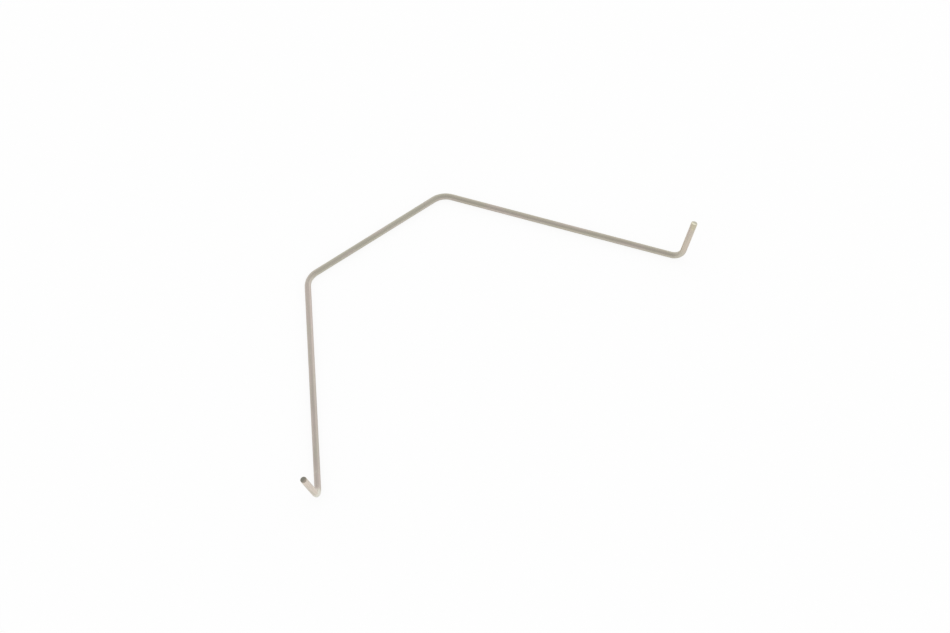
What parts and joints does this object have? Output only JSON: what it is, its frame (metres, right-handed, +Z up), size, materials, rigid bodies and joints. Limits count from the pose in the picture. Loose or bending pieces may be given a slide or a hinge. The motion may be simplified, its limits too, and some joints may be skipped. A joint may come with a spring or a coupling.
{
  "type": "brake pad spring",
  "caption": "Bent wire spring that holds brake pads apart and quiet: a straight crown, two legs opening outwards, and a short upright hook at each end.",
  "frame": {"origin": "on the surface that the spring lies on, below the middle of its bounding box", "axes": "+X along the crown, +Y from the hooks towards the crown, +Z up, the way the hooks stand"},
  "size_m": [0.1226, 0.055, 0.0126],
  "materials": {
    "drawn_steel": "satin, drawn along the wire, with a warm grey cast"
  },
  "bodies": {
    "root": {"spring_wire": "drawn_steel"}
  },
  "joints": []
}
